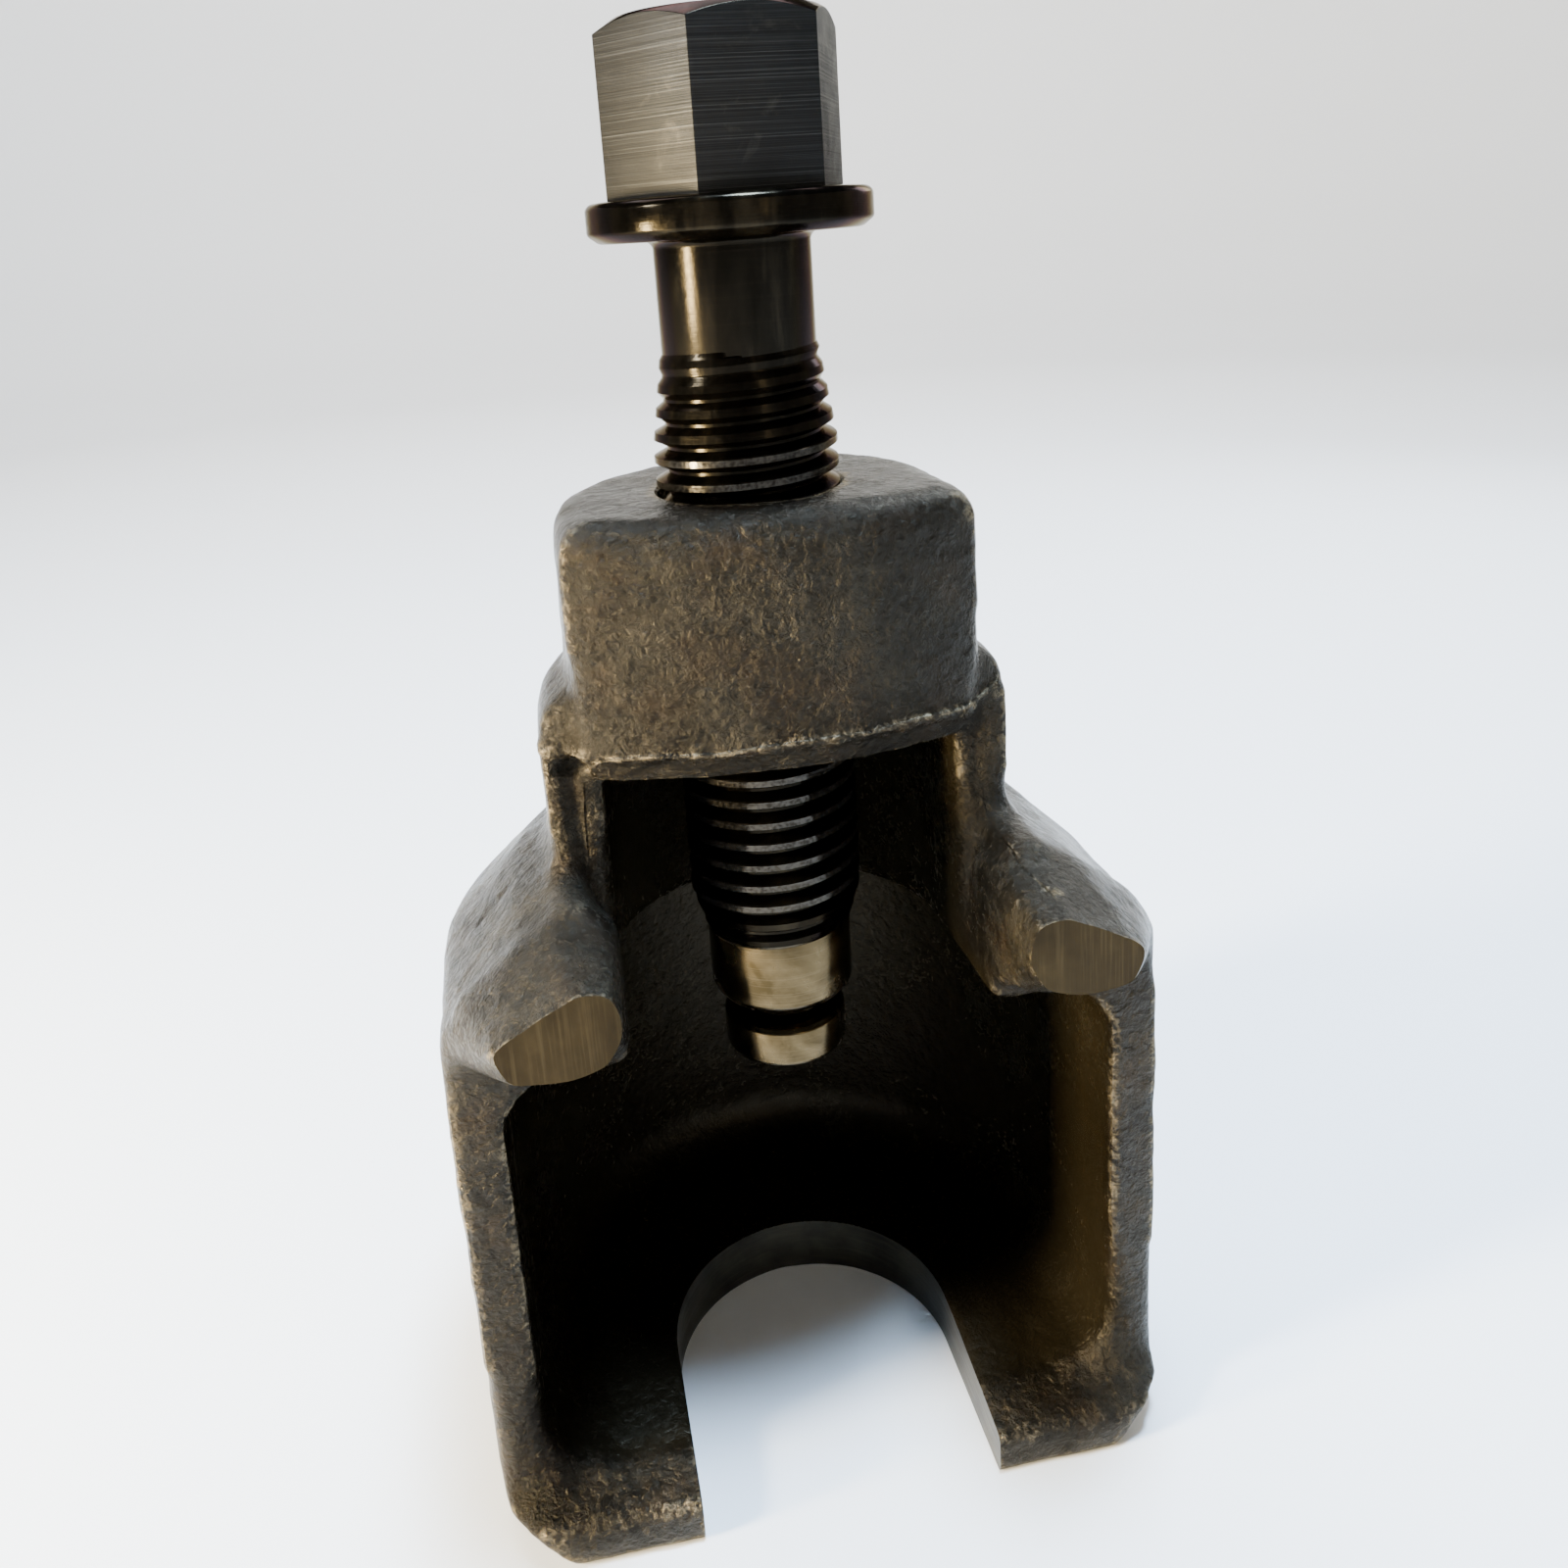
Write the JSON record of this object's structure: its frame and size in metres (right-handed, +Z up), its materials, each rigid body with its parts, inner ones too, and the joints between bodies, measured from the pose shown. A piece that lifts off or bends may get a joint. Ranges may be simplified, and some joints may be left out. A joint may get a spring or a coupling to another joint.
{
  "type": "ball joint separator",
  "caption": "Forged bell-shaped housing with a forked foot; a hexagon-headed forcing screw in its boss pushes a swivelling thrust pad down through the bell.",
  "frame": {"origin": "on the forcing screw's axis, in the plane of the fork's underside", "axes": "+Z up along the screw to its hexagon, -Y out of the bell's open front and the fork's mouth, +X across the tines"},
  "size_m": [0.078, 0.0685, 0.1608],
  "materials": {
    "forged_steel": "blackened forging, hammered scale",
    "blackened_steel": "black oxide, glossy",
    "pad_steel": "turned, worn bright",
    "bearing_steel": "polished",
    "spring_steel": "drawn wire"
  },
  "bodies": {
    "body": {"housing": "forged_steel"},
    "pad": {"thrust_pad": "pad_steel", "bearing_ball": "bearing_steel", "retaining_ring": "spring_steel"},
    "screw": {"forcing_screw": "blackened_steel"}
  },
  "joints": [
    {"name": "screw_feed", "type": "slide", "parent": "body", "child": "pad", "axis": [0, 0, -1], "range_m": [-0.024, 0.026]},
    {"name": "screw_turn", "type": "hinge", "parent": "pad", "child": "screw", "pos_m": [0, 0, 0.1], "axis": [0, 0, -1], "range_deg": [-3460, 3750]}
  ],
  "couplings": [
    {"joint": "screw_turn", "follows": "screw_feed", "rad_per_m": 2513.3}
  ]
}
